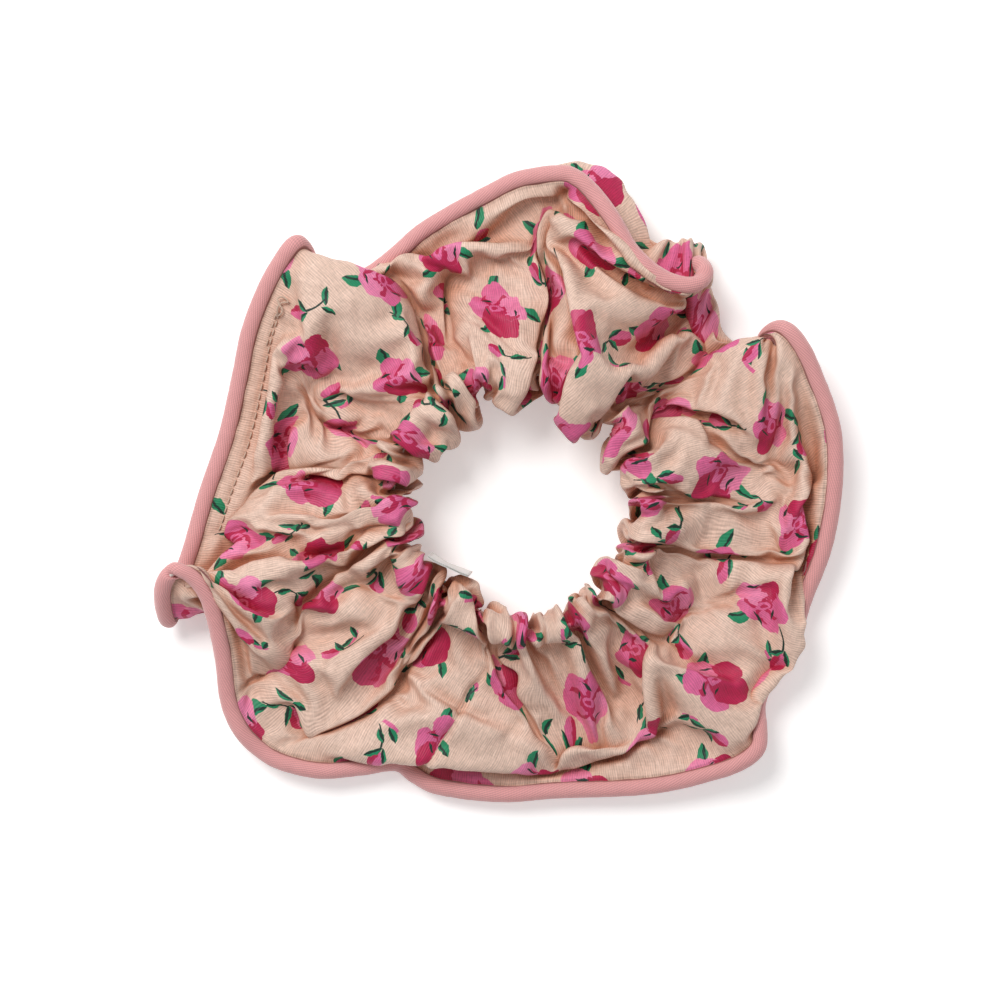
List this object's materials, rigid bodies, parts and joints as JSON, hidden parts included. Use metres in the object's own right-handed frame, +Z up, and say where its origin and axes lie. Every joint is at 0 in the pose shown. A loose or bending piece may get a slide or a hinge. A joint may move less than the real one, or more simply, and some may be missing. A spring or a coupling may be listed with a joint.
{
  "type": "scrunchie",
  "caption": "Gathered fabric hair tie with a floral print and a piped outer seam, on a hidden elastic ring.",
  "frame": {"origin": "middle of the box of the scrunchie lying flat, on the surface that it lies on", "axes": "+Z up through the hair opening, +X across the widest part and the way the right half is pulled, +Y away from the viewer"},
  "size_m": [0.1288, 0.1238, 0.0274],
  "materials": {
    "printed_fabric": "cream crepe satin with printed pink roses and green leaves",
    "piping": "matt pink woven bias tape",
    "filler_cord": "matt white spun cord",
    "elastic": "white braided elastic",
    "thread": "cream sewing thread",
    "label": "white satin ribbon, blank"
  },
  "bodies": {
    "left_half": {"cover_left": "printed_fabric", "elastic_left": "elastic", "elastic_join_thread": "thread", "piping_tape_left": "piping", "piping_cord_left": "filler_cord", "piping_seam_thread_left": "thread", "closing_stitch": "thread", "end_seam_thread": "thread", "care_label": "label"},
    "right_half": {"cover_right": "printed_fabric", "elastic_right": "elastic", "piping_tape_right": "piping", "piping_cord_right": "filler_cord", "piping_seam_thread_right": "thread"}
  },
  "joints": [
    {"name": "stretch", "type": "slide", "parent": "left_half", "child": "right_half", "axis": [1, 0, 0], "range_m": [0, 0.06], "stiffness_N_per_m": 100}
  ]
}
